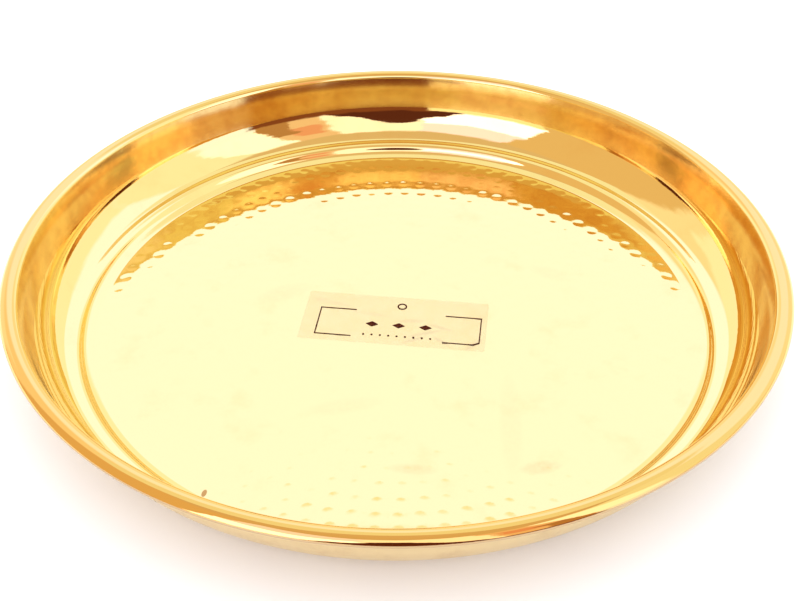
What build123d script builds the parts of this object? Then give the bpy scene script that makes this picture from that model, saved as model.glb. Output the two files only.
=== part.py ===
"""Offering plate: a spun brass dish with a wired rim and a clear sticker on its floor.

Millimetres, +Z up. The origin is at the centre of the flat underside that the plate
rests on, and +Z is the axis of the dish.
"""
from build123d import *
from math import cos, radians, sin, sqrt
import os

# Driving dimensions of the dish
outer_diameter = 305.0
overall_height = 35.2
sheet_thickness = 0.9
wire_diameter = 1.0
wire_clearance = 0.08

# The inner face, from the edge of the flat floor outwards, as arcs (radius, turn in
# degrees). A plus turn bends the face upwards and a minus turn bends it back down.
riser_foot = [(5.0, 18.0), (14.0, 8.0), (3.8, 37.0)]
riser_lip = [(-3.4, -37.0), (-5.0, -20.0)]
ledge_width = 1.0
cove = [(5.0, 32.0), (24.0, 36.0)]
wall_slope = 80.0
wall_flare = [(-36.0, -10.0)]
lip_inside = [(0.8, 15.0), (-1.1, -29.0), (-3.6, -56.0)]
lip_outside = [(-4.0, -60.0), (-1.0, -30.0)]
hem = [(-1.0, -80.0), (-9.0, -14.0)]
wire_inset = 2.3

# Sticker on the floor
film_length = 75.5
film_width = 31.0
film_thickness = 0.08
film_corner = 0.8
label_x = -0.8
label_y = -6.6
label_turn = -7.0

# Printed ornament, in the sticker's own directions
ink_thickness = 0.02
frame_length = 67.0
frame_width = 17.5
frame_line = 0.5
frame_x = 2.0
frame_y = -3.3
bracket_length = 15.0
lozenge_pitch = 11.0
lozenge_length = 5.2
lozenge_width = 3.2
ring_radius = 2.0
ring_line = 0.6
ring_y = 9.4
dot_radius = 0.45
dot_pitch = 3.4
dot_count = 9
dot_y = -6.8

os.makedirs("parts", exist_ok=True)


def extent(arcs, slope):
    """Width and rise of a chain of tangent arcs that starts at a slope, and its end slope."""
    width = 0.0
    rise = 0.0
    for radius, turn in arcs:
        end = slope + turn
        width += radius * (sin(radians(end)) - sin(radians(slope)))
        rise += radius * (cos(radians(slope)) - cos(radians(end)))
        slope = end
    return width, rise, slope


# Width and rise of each stretch of the face
riser_width, riser_rise, ledge_slope = extent(riser_foot + riser_lip, 0.0)
ledge_run = ledge_width * cos(radians(ledge_slope))
ledge_rise = ledge_width * sin(radians(ledge_slope))
cove_width, cove_rise, cove_slope = extent(cove, ledge_slope)
top_width, top_rise, crest_slope = extent(wall_flare + lip_inside, wall_slope)
outside_width = extent(lip_outside, crest_slope)[0]

# The wall is the arc that closes the gap between the cove and the lip
wall_rise = overall_height - sheet_thickness - riser_rise - ledge_rise - cove_rise - top_rise
wall_radius = wall_rise / (cos(radians(cove_slope)) - cos(radians(wall_slope)))
wall = [(wall_radius, wall_slope - cove_slope)]
wall_width = extent(wall, cove_slope)[0]
crest_radius = outer_diameter / 2 - outside_width
floor_radius = crest_radius - top_width - wall_width - cove_width - ledge_run - riser_width
print("floor radius", round(floor_radius, 2), "wall radius", round(wall_radius, 2))


def add_face(start, below):
    """Draw the section's inner face, or the face that lies below it by a distance."""
    edge = Line((0, start), (floor_radius, start))
    for radius, turn in riser_foot + riser_lip:
        edge = add_arc(edge, radius + below, turn)
    edge = Line(edge @ 1, edge @ 1 + (edge % 1) * ledge_width)
    for radius, turn in cove + wall + wall_flare + lip_inside + lip_outside + hem:
        edge = add_arc(edge, radius + below, turn)
    return edge


def add_arc(edge, radius, turn):
    """Draw the tangent arc that follows an edge."""
    return JernArc(start=edge @ 1, tangent=edge % 1, radius=abs(radius), arc_size=turn)


# Dish: one sheet of brass, floor, riser, cove, wall, rounded lip and hem turned under it
with BuildPart() as plate_body:
    with BuildSketch(Plane.XZ):
        with BuildLine():
            inner_end = add_face(sheet_thickness, 0.0)
            outer_end = add_face(0.0, sheet_thickness)
            Line(inner_end @ 1, outer_end @ 1)
            Line((0, 0), (0, sheet_thickness))
        make_face()
    revolve(axis=Axis.Z)
plate_body.part.label = "plate_body"
export_step(plate_body.part, "parts/plate_body.step")

# Wire between the lip and its hem, which keeps the thin edge round and stiff
wire_radius = wire_diameter / 2
wire_ring_radius = outer_diameter / 2 - wire_inset
crest_inside_radius = -lip_outside[0][0] - sheet_thickness
crest_centre_height = overall_height + lip_outside[0][0]
wire_reach = crest_inside_radius - wire_clearance - wire_radius
wire_height = crest_centre_height + sqrt(wire_reach**2 - (wire_ring_radius - crest_radius) ** 2)
with BuildPart() as rim_wire:
    with BuildSketch(Plane.XZ):
        with Locations((wire_ring_radius, wire_height)):
            Circle(wire_radius)
    revolve(axis=Axis.Z)
rim_wire.part.label = "rim_wire"
export_step(rim_wire.part, "parts/rim_wire.step")

# Clear film of the sticker
film_plane = Plane((label_x, label_y, sheet_thickness)).rotated((0, 0, label_turn))
with BuildPart() as label_film:
    with BuildSketch(film_plane):
        RectangleRounded(film_length, film_width, film_corner)
    extrude(amount=film_thickness)
label_film.part.label = "label_film"
export_step(label_film.part, "parts/label_film.step")

# Ink on the film: two brackets, a ring, three lozenges and a row of dots
ink_plane = film_plane.offset(film_thickness)
with BuildPart() as label_print:
    with BuildSketch(ink_plane):
        with Locations((frame_x, frame_y)):
            Rectangle(frame_length, frame_width)
            Rectangle(frame_length - 2 * frame_line, frame_width - 2 * frame_line, mode=Mode.SUBTRACT)
            Rectangle(frame_length - 2 * bracket_length, frame_width, mode=Mode.SUBTRACT)
        with Locations((frame_x, ring_y)):
            Circle(ring_radius)
            Circle(ring_radius - ring_line, mode=Mode.SUBTRACT)
        for step in (-1, 0, 1):
            with BuildLine():
                Polyline(
                    (frame_x + step * lozenge_pitch - lozenge_length / 2, frame_y),
                    (frame_x + step * lozenge_pitch, frame_y + lozenge_width / 2),
                    (frame_x + step * lozenge_pitch + lozenge_length / 2, frame_y),
                    (frame_x + step * lozenge_pitch, frame_y - lozenge_width / 2),
                    close=True,
                )
            make_face()
        with Locations((frame_x, frame_y + dot_y)):
            with GridLocations(dot_pitch, 1, dot_count, 1):
                Circle(dot_radius)
    extrude(amount=ink_thickness)
label_print.part.label = "label_print"
export_step(label_print.part, "parts/label_print.step")
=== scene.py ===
"""Offering plate: a polished brass dish with a hammered floor, a wired lip and a clear sticker.

Metres, +Z up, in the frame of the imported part. The dish's section is the same chain of
tangent arcs as the part's, so the detailed mesh has its size and place.
"""
import math
import random

import bpy
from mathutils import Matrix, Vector, noise
from mathutils.geometry import delaunay_2d_cdt


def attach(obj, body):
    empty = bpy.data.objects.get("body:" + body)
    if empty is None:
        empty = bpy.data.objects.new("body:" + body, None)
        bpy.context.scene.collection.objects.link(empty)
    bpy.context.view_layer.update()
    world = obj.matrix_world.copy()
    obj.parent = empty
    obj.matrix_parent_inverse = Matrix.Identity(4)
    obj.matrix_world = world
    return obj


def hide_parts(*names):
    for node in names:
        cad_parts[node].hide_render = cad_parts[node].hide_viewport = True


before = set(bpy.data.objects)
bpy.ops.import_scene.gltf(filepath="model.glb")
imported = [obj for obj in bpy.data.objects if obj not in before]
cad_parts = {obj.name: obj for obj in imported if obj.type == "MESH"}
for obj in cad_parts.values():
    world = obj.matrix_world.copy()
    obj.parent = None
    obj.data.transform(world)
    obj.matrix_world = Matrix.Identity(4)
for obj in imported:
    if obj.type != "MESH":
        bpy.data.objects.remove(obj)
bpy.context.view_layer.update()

MM = 0.001

# The dish, in the part's own dimensions: arcs of the inner face as (radius in
# millimetres, turn in degrees), where a plus turn bends the face upwards
OUTER_RADIUS = 152.5 * MM
HEIGHT = 35.2 * MM
SHEET = 0.9 * MM
LEDGE_WIDTH = 1.0 * MM
RISER = [(5.0, 18.0), (14.0, 8.0), (3.8, 37.0), (-3.4, -37.0), (-5.0, -20.0)]
COVE = [(5.0, 32.0), (24.0, 36.0)]
WALL_SLOPE = 80.0
FLARE = [(-36.0, -10.0)]
LIP = [(0.8, 15.0), (-1.1, -29.0), (-3.6, -56.0)]
LIP_OUTSIDE = [(-4.0, -60.0), (-1.0, -30.0)]
HEM = [(-1.0, -80.0), (-9.0, -14.0)]

# Mesh fineness: points round the dish, degrees of turn between points of the inner and
# the back face, how much finer the wall is, the underside's rings as shares of the
# floor's radius, and how near two points are one
SEGMENTS = 320
FACE_STEP = 3.2
BACK_STEP = 8.0
WALL_FINENESS = 3
UNDERSIDE_RINGS = (0.75, 0.5, 0.25)
MERGE_DISTANCE = 1e-9

# Hammer marks on the floor, in rings about its centre, and their least distance to its edge
MARK_RADIUS = 2.75 * MM
MARK_DEPTH = 0.075 * MM
MARK_CURVE = 1.4
MARK_PITCH = 7.8 * MM
RING_PITCH = 7.1 * MM
FIRST_RINGS = [119.0 * MM, 112.8 * MM]
FLOOR_MARGIN = 0.05 * MM
# How uneven they are: drift along and across a ring, and shares of the size and depth
MARK_SEED = 7
DRIFT_ALONG = 0.35 * MM
DRIFT_ACROSS = 0.18 * MM
SIZE_SHARES = (0.9, 1.05)
DEPTH_SHARES = (0.7, 1.2)
# Points of a mark's mesh about its centre, as (share of its radius, number of points)
MARK_POINTS = [(0.35, 7), (0.65, 11), (0.88, 13), (1.0, 14)]

# Finishes of the sheet, in the order of the plate's materials
POLISHED, BRUSHED, PLAIN = range(3)

# A soft patch fades in between these squares of the distance from its middle, in half sizes
PATCH_FADE = (1.6, 0.1)
# Tarnish on the floor, in millimetres: middle, half length, half width, turn, strength
TARNISH = [
    (-66.1, -101.7, 1.6, 0.8, 80, 2.5),
    (51.0, -89.4, 7.0, 3.0, 10, 0.17),
    (5.8, -90.3, 8.0, 2.4, -5, 0.14),
    (42.0, -68.0, 26.0, 4.0, 88, 0.05),
    (-48.0, 12.0, 11.0, 5.0, 25, 0.06),
    (66.0, 26.0, 9.0, 4.0, -30, 0.05),
    (-20.0, -58.0, 14.0, 4.0, 12, 0.05),
]

# Colours of the metal: polished and clouded, stained, the lip, the wall, and the outside, plain and
# darker, the darker one giving both its stains and the painted shade under the lip
BRASS = (0.93, 0.74, 0.31, 1)
WARM_BRASS = (0.90, 0.62, 0.22, 1)
STAIN = (0.55, 0.30, 0.09, 1)
LIP_BRASS = (0.88, 0.59, 0.19, 1)
WALL_BRASS = (0.89, 0.63, 0.21, 1)
DULL_BRASS = (0.80, 0.50, 0.15, 1)
OUTER_BRASS = (0.86, 0.70, 0.40, 1)
OUTER_STAIN_AND_SHADE = (0.62, 0.44, 0.24, 1)

# Where the metal changes colour, in millimetres: the radius at which the lip starts, and
# the heights between which painted shade darkens the outside towards the lip
LIP_RADIUS = 146.6
LIP_BLEND = 0.3
PAINTED_SHADE_HEIGHTS = (19.0, 30.0)

# Sticker on the floor. Its place is x, y and a turn in degrees
FILM_LENGTH = 75.5 * MM
FILM_WIDTH = 31.0 * MM
FILM_THICKNESS = 0.08 * MM
FILM_CORNER = 0.8 * MM
FILM_CELL = 1.0 * MM
FILM_PLACE = (-0.8 * MM, -6.6 * MM, -7.0)
FILM_CLEAR = (0.92, 0.70, 0.24, 1)
FILM_MILKY = (1.0, 0.88, 0.56, 1)
# Colour of the painted shade along the film's creases
FILM_CREASE_SHADE = (0.30, 0.10, 0.08, 1)
FILM_COVER = 0.07
FILM_IOR = 1.49
# How far the film stands off the floor between its creases, and over what length it waves
FILM_LIFT = 0.02 * MM
FILM_WAVE = 7 * MM
# Creases in the film, in millimetres: middle, half length, half width, turn, height
CREASES = [
    (13.0, -7.0, 7.0, 0.9, 24, 0.16),
    (19.0, -2.5, 6.0, 0.8, -18, 0.13),
    (9.0, -11.5, 5.0, 0.9, 30, 0.15),
    (20.0, -11.0, 4.0, 0.8, -35, 0.14),
    (7.0, 0.5, 6.0, 1.1, 8, 0.10),
    (-10.0, 3.0, 8.0, 1.2, -6, 0.06),
    (-28.0, 9.0, 9.0, 1.5, -12, 0.07),
    (33.0, -12.0, 5.0, 1.2, 50, 0.12),
]
# Edges of the film and the ink that turn by more than this are shaded sharp
SHARP_EDGE = math.radians(40)

# Printed ornament, in the sticker's own directions
INK_THICKNESS = 0.02 * MM
INK_FULL = (0.05, 0.008, 0.004, 1)
INK_THIN = (0.24, 0.075, 0.012, 1)
FRAME_LENGTH = 67.0 * MM
FRAME_WIDTH = 17.5 * MM
FRAME_LINE = 0.5 * MM
FRAME_CENTRE = (2.0 * MM, -3.3 * MM)
BRACKET_LENGTH = 15.0 * MM
BENT_CORNER = 2.6 * MM
LINE_PIECES = 10
LOZENGE_PITCH = 11.0 * MM
LOZENGE = (5.2 * MM, 3.2 * MM)
RING_RADIUS = 2.0 * MM
RING_LINE = 0.6 * MM
RING_HEIGHT = 9.4 * MM
RING_POINTS = 40
DOT_RADIUS = 0.45 * MM
DOT_PITCH = 3.4 * MM
DOT_COUNT = 9
DOT_DROP = 6.8 * MM
DOT_POINTS = 12

# The light of the open room, and the even light that falls on matt surfaces
OPEN_ROOM = (1.25, 1.34, 1.85, 1)
MATT_LIGHT = (1.7, 1.7, 1.7, 1)
# What the brass mirrors, as soft patches of the sky, each laid over those before it:
# azimuth of the middle (0 behind the dish, 90 to its right), half width, lowest and
# highest elevation, how much a degree of elevation narrows it, softness, colour
SURROUNDINGS = [
    ("left softbox", -100, 72, -90, 90, 0.0, 16, (1.15, 0.98, 0.78)),
    ("left amber card", -103, 31, -90, 90, 0.0, 6, (0.90, 0.62, 0.34)),
    ("low back card", 8, 68, -90, 26, 0.0, 6, (1.2, 1.16, 1.07)),
    ("high back card", 0, 75, 51, 90, 0.0, 4, (1.06, 1.06, 0.92)),
    ("right softbox", 92, 17, -90, 90, 0.0, 5, (1.1, 1.14, 1.04)),
    ("right strip light", 121, 12, 18, 90, 0.0, 4, (1.6, 1.6, 1.9)),
    ("front softbox", 180, 48, -90, 90, 0.0, 3, (1.5, 1.4, 1.6)),
    ("front strip light, top", -150, 20, 36, 62, 0.0, 3, (1.35, 1.15, 1.7)),
    ("front strip light", -150, 20, 8, 38, 0.0, 1.5, (2.4, 2.2, 3.2)),
    ("front amber card", 143, 11, -90, 70, 0.0, 3, (1.03, 0.71, 0.52)),
    ("front red card", 145, 6, 30, 50, 0.0, 3, (0.98, 0.45, 0.31)),
    ("front brown card", 137, 5, -90, 42, 0.0, 2, (0.57, 0.29, 0.13)),
    ("front overhead card", 180, 105, 60, 90, 0.0, 4, (0.83, 0.61, 0.40)),
    ("overhead card", 0, 180, 80, 90, 0.0, 5, (0.85, 0.63, 0.42)),
    ("dark flag", 180, 31, 3, 42, 0.68, 2, (0.12, 0.03, 0.018)),
    ("low amber card", 180, 118, -90, 2, 0.0, 3, (0.80, 0.44, 0.15)),
    ("dark flag, foot", 161, 31, -4, 12, 0.0, 4, (0.26, 0.075, 0.03)),
    ("front strip light, foot", -150, 19, -6, 10, 0.0, 3, (1.4, 1.15, 0.8)),
]
# How far the patches' edges wander, in degrees of elevation and azimuth
WANDER_UP = 7.0
WANDER_ASIDE = 8.0
WANDER_SCALE = 7.0

TABLE_COLOUR = (0.93, 0.93, 0.92, 1)
TABLE_ROUGHNESS = 0.8
TABLE_HALF_SIZE = 4.0

# Camera: elevation in degrees, distance to its target, and lens and sensor in millimetres
CAMERA_ELEVATION = 37.75
CAMERA_DISTANCE = 3.132 * OUTER_RADIUS
CAMERA_TARGET = (0.0088 * OUTER_RADIUS, 0.0230 * OUTER_RADIUS, 3.4 * MM)
CAMERA_LENS = 51.75
CAMERA_SENSOR = 36.0
CAMERA_NEAR = 0.01


def trace(slope, arcs, step, points):
    """Follow tangent arcs (radius, turn) from the last of the (radius, height) points.

    Adds their points to the list and gives the slope at their end.
    """
    for radius, turn in arcs:
        r, z = points[-1]
        count = max(1, round(abs(turn) / step))
        for i in range(1, count + 1):
            angle = slope + turn * i / count
            points.append((
                r + radius * (math.sin(math.radians(angle)) - math.sin(math.radians(slope))),
                z + radius * (math.cos(math.radians(slope)) - math.cos(math.radians(angle))),
            ))
        slope += turn
    return slope


def extent(arcs, slope):
    """Width and rise of a chain of tangent arcs, and its end slope."""
    width = rise = 0.0
    for radius, turn in arcs:
        end = slope + turn
        width += radius * (math.sin(math.radians(end)) - math.sin(math.radians(slope)))
        rise += radius * (math.cos(math.radians(slope)) - math.cos(math.radians(end)))
        slope = end
    return width, rise, slope


def in_metres(arcs):
    return [(radius * MM, turn) for radius, turn in arcs]


def section():
    """The floor's radius, and the sheet's inner and back face from there outwards.

    A face is a list of (radius, height, finish) points.
    """
    riser, cove, flare = in_metres(RISER), in_metres(COVE), in_metres(FLARE)
    lip, outside, hem = in_metres(LIP), in_metres(LIP_OUTSIDE), in_metres(HEM)
    riser_width, riser_rise, ledge_slope = extent(riser, 0.0)
    ledge_run = LEDGE_WIDTH * math.cos(math.radians(ledge_slope))
    ledge_rise = LEDGE_WIDTH * math.sin(math.radians(ledge_slope))
    cove_width, cove_rise, cove_slope = extent(cove, ledge_slope)
    top_width, top_rise, crest_slope = extent(flare + lip, WALL_SLOPE)
    outside_width = extent(outside, crest_slope)[0]

    # The wall is the arc that closes the gap between the cove and the lip
    wall_rise = HEIGHT - SHEET - riser_rise - ledge_rise - cove_rise - top_rise
    bend = math.cos(math.radians(cove_slope)) - math.cos(math.radians(WALL_SLOPE))
    wall = [(wall_rise / bend, WALL_SLOPE - cove_slope)]
    wall_width = extent(wall, cove_slope)[0]
    floor_radius = (
        OUTER_RADIUS - outside_width - top_width - wall_width - cove_width - ledge_run - riser_width
    )

    def face(below, step):
        """The face that lies below the inner one by a distance, in steps of turn."""
        points = [(floor_radius, SHEET - below)]
        finishes = [POLISHED]
        slope = 0.0

        def follow(arcs, turn_step, finish):
            nonlocal slope
            offset = [(radius + below, turn) for radius, turn in arcs]
            slope = trace(slope, offset, turn_step, points)
            finishes.extend([finish] * (len(points) - len(finishes)))

        follow(riser, step, POLISHED)
        points.append((points[-1][0] + ledge_run, points[-1][1] + ledge_rise))
        follow(cove, step, POLISHED)
        follow(wall + flare, step / WALL_FINENESS, BRUSHED)
        follow(lip + outside[:1], step, POLISHED)
        follow(outside[1:] + hem, 2 * step, PLAIN)
        return [(r, z, finish) for (r, z), finish in zip(points, finishes)]

    return floor_radius, face(0.0, FACE_STEP), face(SHEET, BACK_STEP)


def ring_radii():
    """Radii of the rings of hammer marks, from the floor's edge to its centre."""
    radii = list(FIRST_RINGS)
    while radii[-1] > RING_PITCH:
        radii.append(radii[-1] - RING_PITCH)
    return radii


def hammer_marks(floor_radius):
    """Centres, radii and depths of the marks, ring by ring, a little uneven as by hand."""
    rng = random.Random(MARK_SEED)
    marks = []
    for ring in ring_radii():
        count = max(1, round(2 * math.pi * ring / MARK_PITCH))
        phase = rng.random() * 2 * math.pi
        for i in range(count):
            angle = phase + 2 * math.pi * i / count + rng.gauss(0, DRIFT_ALONG / ring)
            r = ring + rng.gauss(0, DRIFT_ACROSS)
            size = MARK_RADIUS * rng.uniform(*SIZE_SHARES)
            r = min(r, floor_radius - size - FLOOR_MARGIN)
            depth = MARK_DEPTH * rng.uniform(*DEPTH_SHARES)
            marks.append((r * math.cos(angle), r * math.sin(angle), size, depth))
    return marks


def hammered_floor(floor_radius):
    """Points and triangles of the floor, whose outline is the first points, in order."""
    flat = []
    heights = []
    for i in range(SEGMENTS):
        a = 2 * math.pi * i / SEGMENTS
        flat.append(Vector((floor_radius * math.cos(a), floor_radius * math.sin(a))))
        heights.append(SHEET)
    for x, y, size, depth in hammer_marks(floor_radius):
        flat.append(Vector((x, y)))
        heights.append(SHEET - depth)
        for k, (share, count) in enumerate(MARK_POINTS):
            for i in range(count):
                a = 2 * math.pi * (i + 0.5 * (k % 2)) / count
                flat.append(Vector((x + size * share * math.cos(a), y + size * share * math.sin(a))))
                heights.append(SHEET - depth * (1 - share * share) ** MARK_CURVE)
    points, _, faces, _, _, _ = delaunay_2d_cdt(flat, [], [], 0, MERGE_DISTANCE)
    assert len(points) == len(flat)
    return [(p.x, p.y, h) for p, h in zip(points, heights)], [tuple(f) for f in faces]


def build_plate():
    """The floor, and the rings of points from its edge over the lip and back underneath."""
    floor_radius, inner, back = section()
    verts, polys = hammered_floor(floor_radius)
    finishes = [POLISHED] * len(polys)

    path = inner[1:]
    path += [(r, z, PLAIN) for r, z, _ in back[::-1]]
    path += [(floor_radius * share, 0.0, PLAIN) for share in UNDERSIDE_RINGS]
    loop = list(range(SEGMENTS))
    for radius, height, finish in path:
        ring = list(range(len(verts), len(verts) + SEGMENTS))
        for i in range(SEGMENTS):
            a = 2 * math.pi * i / SEGMENTS
            verts.append((radius * math.cos(a), radius * math.sin(a), height))
        for i in range(SEGMENTS):
            j = (i + 1) % SEGMENTS
            polys.append((loop[i], ring[i], ring[j], loop[j]))
            finishes.append(finish)
        loop = ring
    centre = len(verts)
    verts.append((0.0, 0.0, 0.0))
    for i in range(SEGMENTS):
        polys.append((loop[i], centre, loop[(i + 1) % SEGMENTS]))
        finishes.append(PLAIN)

    mesh = bpy.data.meshes.new("plate")
    mesh.from_pydata(verts, [], polys)
    mesh.validate()
    mesh.shade_smooth()
    mesh.polygons.foreach_set("material_index", finishes)
    plate = bpy.data.objects.new("plate", mesh)
    bpy.context.scene.collection.objects.link(plate)
    return plate


def turned(x, y, angle):
    """A point turned by an angle in degrees."""
    c, s = math.cos(math.radians(angle)), math.sin(math.radians(angle))
    return x * c - y * s, x * s + y * c


def film_rise(u, v):
    """How far the film stands off the floor: hardly, but for its creases."""
    rise = FILM_LIFT * (1 + noise.noise(Vector((u, v, 0)) / FILM_WAVE))
    for x, y, half_length, half_width, turn, height in CREASES:
        along, across = turned(u / MM - x, v / MM - y, -turn)
        rise += height * MM * math.exp(-((along / half_length) ** 2) - (across / half_width) ** 2)
    return rise


def thin_piece(name, points, faces, lift, thickness):
    """A closed sheet that follows the film: flat points and faces, given a thickness."""
    def corner(u, v, height):
        x, y = turned(u, v, FILM_PLACE[2])
        return FILM_PLACE[0] + x, FILM_PLACE[1] + y, SHEET + film_rise(u, v) + height

    count = len(points)
    verts = [corner(u, v, lift + thickness) for u, v in points]
    verts += [corner(u, v, lift) for u, v in points]
    polys = [tuple(f) for f in faces] + [tuple(i + count for i in reversed(f)) for f in faces]
    edges = {(f[i - 1], f[i]) for f in faces for i in range(len(f))}
    polys += [(b, a, a + count, b + count) for a, b in sorted(edges) if (b, a) not in edges]
    mesh = bpy.data.meshes.new(name)
    mesh.from_pydata(verts, [], polys)
    mesh.validate()
    mesh.shade_smooth()
    mesh.set_sharp_from_angle(angle=SHARP_EDGE)
    piece = bpy.data.objects.new(name, mesh)
    bpy.context.scene.collection.objects.link(piece)
    return piece


def build_film():
    """The clear film, as a grid fine enough for its creases, with its corners cut off."""
    columns, rows = round(FILM_LENGTH / FILM_CELL), round(FILM_WIDTH / FILM_CELL)
    inset = FILM_CORNER * (1 - math.sqrt(0.5))
    points = []
    for j in range(rows + 1):
        for i in range(columns + 1):
            u, v = FILM_LENGTH * (i / columns - 0.5), FILM_WIDTH * (j / rows - 0.5)
            if i in (0, columns) and j in (0, rows):
                u, v = u - math.copysign(inset, u), v - math.copysign(inset, v)
            points.append((u, v))
    faces = []
    for j in range(rows):
        for i in range(columns):
            k = j * (columns + 1) + i
            faces.append((k, k + 1, k + columns + 2, k + columns + 1))
    return thin_piece("sticker_film", points, faces, 0.0, FILM_THICKNESS)


def add_line(points, faces, corners):
    """A printed line through its corners, cut into pieces so that it can follow the film."""
    corners = [Vector(corner) for corner in corners]
    ways = [(b - a).normalized() for a, b in zip(corners, corners[1:])]
    sides = []
    for k, corner in enumerate(corners):
        near = ways[max(k - 1, 0):k + 1]
        mean = sum(near, Vector((0, 0))).normalized()
        normal = Vector((-mean.y, mean.x)) * (FRAME_LINE / 2 / mean.dot(near[0]))
        sides.append((corner + normal, corner - normal))
    start = len(points)
    for (left, right), (next_left, next_right) in zip(sides, sides[1:]):
        for i in range(LINE_PIECES):
            share = i / LINE_PIECES
            points += [tuple(left.lerp(next_left, share)), tuple(right.lerp(next_right, share))]
    points += [tuple(sides[-1][0]), tuple(sides[-1][1])]
    for k in range(start, len(points) - 2, 2):
        faces.append((k, k + 1, k + 3, k + 2))


def add_disc(points, faces, centre, outline):
    """A printed shape, as triangles from its centre to an outline about it."""
    start = len(points)
    points.append(centre)
    points += [(centre[0] + u, centre[1] + v) for u, v in outline]
    for i in range(len(outline)):
        faces.append((start, start + 1 + i, start + 1 + (i + 1) % len(outline)))


def circle(radius, count):
    turns = [2 * math.pi * i / count for i in range(count)]
    return [(radius * math.cos(turn), radius * math.sin(turn)) for turn in turns]


def build_print():
    """Two brackets, a ring, three lozenges and a row of dots."""
    points, faces = [], []
    x, y = FRAME_CENTRE
    half_line = FRAME_LINE / 2
    top, bottom = y + FRAME_WIDTH / 2 - half_line, y - FRAME_WIDTH / 2 + half_line
    left, right = x - FRAME_LENGTH / 2, x + FRAME_LENGTH / 2
    add_line(points, faces, [
        (left + BRACKET_LENGTH, top),
        (left + half_line, top),
        (left + half_line, bottom),
        (left + BRACKET_LENGTH, bottom),
    ])
    add_line(points, faces, [
        (right - BRACKET_LENGTH, bottom),
        (right - BENT_CORNER, bottom),
        (right - half_line, bottom + BENT_CORNER / 2),
        (right - half_line, top),
        (right - BRACKET_LENGTH, top),
    ])

    start = len(points)
    for radius in (RING_RADIUS, RING_RADIUS - RING_LINE):
        points += [(x + u, RING_HEIGHT + v) for u, v in circle(radius, RING_POINTS)]
    for i in range(RING_POINTS):
        j = (i + 1) % RING_POINTS
        faces.append((start + i, start + j, start + RING_POINTS + j, start + RING_POINTS + i))

    half_length, half_width = LOZENGE[0] / 2, LOZENGE[1] / 2
    lozenge = [(half_length, 0), (0, half_width), (-half_length, 0), (0, -half_width)]
    for step in (-1, 0, 1):
        add_disc(points, faces, (x + step * LOZENGE_PITCH, y), lozenge)
    for i in range(DOT_COUNT):
        place = x + (i - (DOT_COUNT - 1) / 2) * DOT_PITCH
        add_disc(points, faces, (place, y - DOT_DROP), circle(DOT_RADIUS, DOT_POINTS))
    return thin_piece("sticker_print", points, faces, FILM_THICKNESS, INK_THICKNESS)


class Nodes:
    """Short calls for building a node tree."""

    def __init__(self, tree):
        self.tree = tree

    def add(self, kind, **values):
        node = self.tree.nodes.new(kind)
        for name, value in values.items():
            setattr(node, name, value)
        return node

    def link(self, source, target):
        self.tree.links.new(source, target)

    def feed(self, socket, value):
        if isinstance(value, bpy.types.NodeSocket):
            self.link(value, socket)
        else:
            socket.default_value = value

    def math(self, operation, a, b=0.0, c=0.0):
        node = self.add("ShaderNodeMath", operation=operation)
        for socket, value in zip(node.inputs, (a, b, c)):
            self.feed(socket, value)
        return node.outputs[0]

    def ramp(self, value, low, high):
        """0 below low, 1 above high, and smooth between them."""
        node = self.add("ShaderNodeMapRange", interpolation_type="SMOOTHSTEP")
        self.feed(node.inputs["Value"], value)
        node.inputs["From Min"].default_value = low
        node.inputs["From Max"].default_value = high
        return node.outputs["Result"]

    def mix(self, factor, a, b):
        node = self.add("ShaderNodeMix", data_type="RGBA")
        self.feed(node.inputs["Factor"], factor)
        self.feed(node.inputs["A"], a)
        self.feed(node.inputs["B"], b)
        return node.outputs["Result"]

    def noise(self, vector, scale, detail=2.0, roughness=0.5, output="Fac"):
        node = self.add("ShaderNodeTexNoise")
        self.link(vector, node.inputs["Vector"])
        node.inputs["Scale"].default_value = scale
        node.inputs["Detail"].default_value = detail
        node.inputs["Roughness"].default_value = roughness
        return node.outputs[output]

    def split(self, vector):
        node = self.add("ShaderNodeSeparateXYZ")
        self.link(vector, node.inputs[0])
        return node.outputs

    def vector(self, x, y, z):
        node = self.add("ShaderNodeCombineXYZ")
        for socket, value in zip(node.inputs, (x, y, z)):
            self.feed(socket, value)
        return node.outputs[0]

    def bump(self, height, distance, shader):
        node = self.add("ShaderNodeBump")
        node.inputs["Distance"].default_value = distance
        self.link(height, node.inputs["Height"])
        self.link(node.outputs[0], shader.inputs["Normal"])


def new_material(name, metallic=0.0):
    """A material, its node helper, its shader and the place on the piece in millimetres."""
    material = bpy.data.materials.new(name)
    material.use_nodes = True
    n = Nodes(material.node_tree)
    shader = material.node_tree.nodes["Principled BSDF"]
    shader.inputs["Metallic"].default_value = metallic
    coords = n.add("ShaderNodeTexCoord")
    scaled = n.add("ShaderNodeVectorMath", operation="SCALE")
    n.link(coords.outputs["Object"], scaled.inputs[0])
    scaled.inputs["Scale"].default_value = 1 / MM
    return material, n, shader, scaled.outputs[0]


def around(n, x, y):
    """Distance from the dish's axis, and the angle about it."""
    radius = n.math("SQRT", n.math("MULTIPLY_ADD", x, x, n.math("MULTIPLY", y, y)))
    return radius, n.math("ARCTAN2", y, x)


def along_and_across(n, x, y, middle_x, middle_y, turn, half_length=1.0, half_width=1.0):
    """A place in turned directions from a middle, in units of the two half sizes."""
    c, s = math.cos(math.radians(turn)), math.sin(math.radians(turn))
    from_x, from_y = n.math("SUBTRACT", x, middle_x), n.math("SUBTRACT", y, middle_y)
    along = n.math("MULTIPLY_ADD", from_x, c / half_length, n.math("MULTIPLY", from_y, s / half_length))
    across = n.math("MULTIPLY_ADD", from_y, c / half_width, n.math("MULTIPLY", from_x, -s / half_width))
    return along, across


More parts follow.
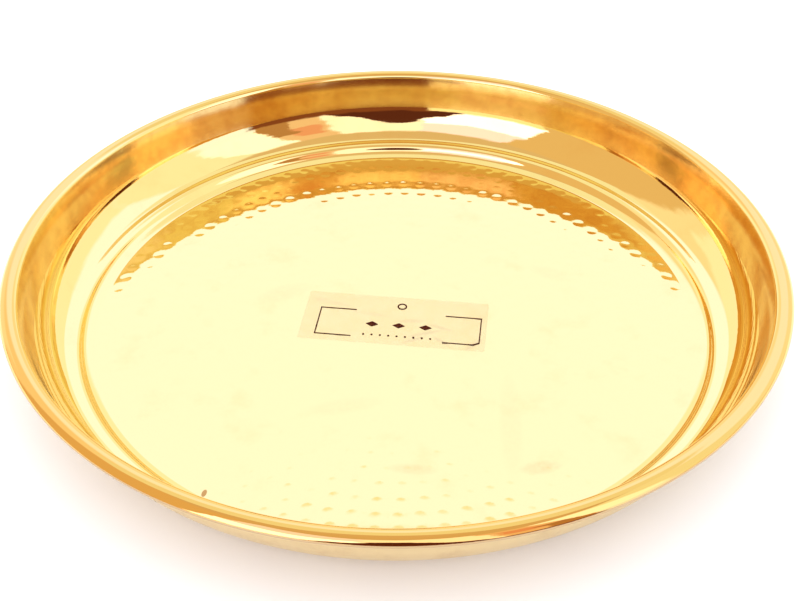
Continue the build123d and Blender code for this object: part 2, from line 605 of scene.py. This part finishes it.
def patches(n, x, y, places):
    """Soft patches, each a middle, half length, half width, turn and strength."""
    total = 0.0
    for middle_x, middle_y, half_length, half_width, turn, strength in places:
        along, across = along_and_across(n, x, y, middle_x, middle_y, turn, half_length, half_width)
        reach = n.math("MULTIPLY_ADD", along, along, n.math("MULTIPLY", across, across))
        total = n.math("MULTIPLY_ADD", n.ramp(reach, *PATCH_FADE), strength, total)
    return total


def polished_brass():
    """Mirror brass with buffing marks, faint clouding and a few stains."""
    material, n, shader, place = new_material("polished_brass", metallic=1.0)
    x, y, z = n.split(place)
    radius, turn = around(n, x, y)
    cloud = n.ramp(n.noise(place, scale=0.045, detail=4.0, roughness=0.6), 0.52, 0.78)
    fleck = n.ramp(n.noise(place, scale=0.9), 0.72, 0.80)
    blotchy = n.math("MULTIPLY_ADD", n.noise(place, scale=0.5, detail=3.0), 1.6, 0.2)
    stain = n.math("MINIMUM", n.math("MULTIPLY", patches(n, x, y, TARNISH), blotchy), 1.0)

    colour = n.mix(n.math("MULTIPLY", cloud, 0.35), BRASS, WARM_BRASS)
    colour = n.mix(n.math("MULTIPLY", fleck, 0.16), colour, WARM_BRASS)
    colour = n.mix(n.ramp(radius, LIP_RADIUS - LIP_BLEND, LIP_RADIUS + LIP_BLEND), colour, LIP_BRASS)
    n.link(n.mix(stain, colour, STAIN), shader.inputs["Base Color"])
    rough = n.math("MULTIPLY_ADD", cloud, 0.035, 0.03)
    n.link(n.math("MULTIPLY_ADD", stain, 0.22, rough), shader.inputs["Roughness"])

    rubbed = n.vector(n.math("MULTIPLY", radius, 5.0), n.math("MULTIPLY", turn, 4.0), z)
    buffing = n.math("MULTIPLY", n.noise(rubbed, scale=1.0), 0.25)
    n.bump(n.math("MULTIPLY_ADD", n.noise(place, scale=0.35), 6.0, buffing), 0.0015 * MM, shader)
    return material


def brushed_brass():
    """The wall: brass with the fine rings that the spinning tool left."""
    material, n, shader, place = new_material("brushed_brass", metallic=1.0)
    x, y, z = n.split(place)
    turn = around(n, x, y)[1]
    shader.inputs["Anisotropic"].default_value = 0.85
    shader.inputs["Anisotropic Rotation"].default_value = 0.25
    tangent = n.add("ShaderNodeTangent", direction_type="RADIAL", axis="Z")
    n.link(tangent.outputs[0], shader.inputs["Tangent"])

    stretched = n.vector(n.math("MULTIPLY", turn, 3.0), n.math("MULTIPLY", z, 4.0), 0.0)
    rings = n.noise(stretched, scale=1.0, detail=4.0, roughness=0.65)
    clouds = n.ramp(n.noise(place, scale=0.12, detail=4.0, roughness=0.6), 0.35, 0.7)
    colour = n.mix(clouds, WALL_BRASS, DULL_BRASS)
    n.link(n.mix(n.ramp(rings, 0.55, 0.8), colour, DULL_BRASS), shader.inputs["Base Color"])
    n.link(n.math("MULTIPLY_ADD", rings, 0.08, 0.10), shader.inputs["Roughness"])
    n.bump(n.math("MULTIPLY_ADD", n.noise(place, scale=0.25), 8.0, rings), 0.0025 * MM, shader)
    return material


def plain_brass():
    """The outside and underside: satin brass with rings and stains, and painted shade darkening it
    under the lip.
    """
    material, n, shader, place = new_material("plain_brass", metallic=1.0)
    x, y, z = n.split(place)
    radius, turn = around(n, x, y)
    stretched = n.vector(n.math("MULTIPLY", turn, 3.0), n.math("MULTIPLY", z, 2.0), radius)
    rings = n.noise(stretched, scale=1.0, detail=4.0, roughness=0.6)
    stains = n.ramp(n.noise(place, scale=0.05, detail=5.0, roughness=0.65), 0.45, 0.75)
    # Darker at random by stains, and towards the lip by painted shade under the bead
    stain_and_shade = n.math("MAXIMUM", n.math("MULTIPLY", stains, 0.5), n.ramp(z, *PAINTED_SHADE_HEIGHTS))
    n.link(n.mix(stain_and_shade, OUTER_BRASS, OUTER_STAIN_AND_SHADE), shader.inputs["Base Color"])
    rough = n.math("MULTIPLY_ADD", stains, 0.08, 0.27)
    n.link(n.math("MULTIPLY_ADD", rings, 0.14, rough), shader.inputs["Roughness"])
    n.bump(rings, 0.01 * MM, shader)
    return material


def drawn_wire():
    """Unpolished wire with the lines of the drawing die along it."""
    material, n, shader, place = new_material("drawn_wire", metallic=1.0)
    x, y, z = n.split(place)
    radius, turn = around(n, x, y)
    stretched = n.vector(n.math("MULTIPLY", radius, 9.0), turn, n.math("MULTIPLY", z, 9.0))
    lines = n.noise(stretched, scale=1.0, detail=3.0)
    n.link(n.mix(lines, OUTER_BRASS, DULL_BRASS), shader.inputs["Base Color"])
    n.link(n.math("MULTIPLY_ADD", lines, 0.2, 0.28), shader.inputs["Roughness"])
    n.bump(lines, 0.01 * MM, shader)
    return material


def clear_film():
    """Thin clear plastic, a little milky, with painted shade along its creases."""
    material, n, shader, place = new_material("clear_film")
    x, y, _ = n.split(place)
    u, v = along_and_across(n, x, y, FILM_PLACE[0] / MM, FILM_PLACE[1] / MM, FILM_PLACE[2])
    uneven = n.math("MULTIPLY", n.noise(place, scale=0.6, detail=3.0), 14.0)
    # Painted shade: the film is darkened along its creases
    crease_shade = n.math("MINIMUM", n.math("MULTIPLY", patches(n, u, v, CREASES), uneven), 1.0)
    smear = n.ramp(n.noise(place, scale=0.16, detail=4.0, roughness=0.65), 0.4, 0.7)
    colour = n.mix(smear, FILM_CLEAR, FILM_MILKY)
    n.link(n.mix(crease_shade, colour, FILM_CREASE_SHADE), shader.inputs["Base Color"])
    n.link(n.math("MULTIPLY_ADD", smear, 0.18, 0.12), shader.inputs["Roughness"])
    shader.inputs["Alpha"].default_value = FILM_COVER
    shader.inputs["IOR"].default_value = FILM_IOR
    n.bump(n.noise(place, scale=0.8, detail=3.0), 0.02 * MM, shader)
    return material


def printed_ink():
    """Brown-black ink, thin in places."""
    material, n, shader, place = new_material("printed_ink")
    thin = n.ramp(n.noise(place, scale=1.1, detail=4.0, roughness=0.7), 0.5, 0.8)
    shader.inputs["Specular IOR Level"].default_value = 0.02
    n.link(n.mix(thin, INK_FULL, INK_THIN), shader.inputs["Base Color"])
    n.link(n.math("MULTIPLY_ADD", thin, 0.2, 0.45), shader.inputs["Roughness"])
    n.bump(n.noise(place, scale=3.0), 0.004 * MM, shader)
    return material


def build_world():
    """A plain room, as patches of soft light."""
    world = bpy.data.worlds.new("studio")
    bpy.context.scene.world = world
    world.use_nodes = True
    n = Nodes(world.node_tree)
    background = world.node_tree.nodes["Background"]
    way = n.add("ShaderNodeTexCoord").outputs["Generated"]
    x, y, z = n.split(way)
    wander = n.split(n.noise(way, scale=WANDER_SCALE, detail=3.0, output="Color"))
    elevation = n.math("MULTIPLY", n.math("ARCSINE", z), math.degrees(1))
    azimuth = n.math("MULTIPLY", n.math("ARCTAN2", x, y), math.degrees(1))
    wander_up, wander_aside = (n.math("SUBTRACT", share, 0.5) for share in wander[:2])
    elevation = n.math("MULTIPLY_ADD", wander_up, WANDER_UP, elevation)
    azimuth = n.math("MULTIPLY_ADD", wander_aside, WANDER_ASIDE, azimuth)

    colour = OPEN_ROOM
    for name, middle, half, low, high, lean, soft, patch in SURROUNDINGS:
        from_middle = n.math("WRAP", n.math("SUBTRACT", azimuth, middle), 180.0, -180.0)
        aside = n.math("ABSOLUTE", from_middle)
        if lean:
            aside = n.math("MULTIPLY_ADD", elevation, lean, aside)
        mask = n.ramp(aside, half + soft / 2, half - soft / 2)
        if low > -90:
            mask = n.math("MULTIPLY", mask, n.ramp(elevation, low - soft / 2, low + soft / 2))
        if high < 90:
            mask = n.math("MULTIPLY", mask, n.ramp(elevation, high + soft / 2, high - soft / 2))
        colour = n.mix(mask, colour, (*patch, 1))
        colour.node.label = name
    on_matt = n.add("ShaderNodeLightPath").outputs["Is Diffuse Ray"]
    n.link(n.mix(on_matt, colour, MATT_LIGHT), background.inputs["Color"])


def build_floor():
    """A plain white table, matt all over."""
    material = bpy.data.materials.new("table")
    material.use_nodes = True
    shader = material.node_tree.nodes["Principled BSDF"]
    shader.inputs["Base Color"].default_value = TABLE_COLOUR
    shader.inputs["Roughness"].default_value = TABLE_ROUGHNESS
    shader.inputs["Specular IOR Level"].default_value = 0.0
    mesh = bpy.data.meshes.new("table")
    size = TABLE_HALF_SIZE
    corners = [(-size, -size, 0), (size, -size, 0), (size, size, 0), (-size, size, 0)]
    mesh.from_pydata(corners, [], [(0, 1, 2, 3)])
    table = bpy.data.objects.new("table", mesh)
    table.data.materials.append(material)
    bpy.context.scene.collection.objects.link(table)


def build_camera():
    """The camera, in front of the dish and above it."""
    data = bpy.data.cameras.new("camera")
    data.lens = CAMERA_LENS
    data.sensor_width = CAMERA_SENSOR
    data.clip_start = CAMERA_NEAR
    camera = bpy.data.objects.new("camera", data)
    bpy.context.scene.collection.objects.link(camera)
    elevation = math.radians(CAMERA_ELEVATION)
    back = Vector((0, -math.cos(elevation), math.sin(elevation)))
    camera.location = Vector(CAMERA_TARGET) + back * CAMERA_DISTANCE
    camera.rotation_mode = "QUATERNION"
    camera.rotation_quaternion = (-back).to_track_quat("-Z", "Y")
    bpy.context.scene.camera = camera


bpy.context.scene.view_settings.view_transform = "Standard"
build_camera()

plate = build_plate()
for finish in (polished_brass(), brushed_brass(), plain_brass()):
    plate.data.materials.append(finish)
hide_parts("plate_body")
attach(plate, "root")

film = build_film()
film.data.materials.append(clear_film())
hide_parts("label_film")
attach(film, "root")

ink = build_print()
ink.data.materials.append(printed_ink())
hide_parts("label_print")
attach(ink, "root")

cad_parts["rim_wire"].material_slots[0].material = drawn_wire()

build_world()
build_floor()
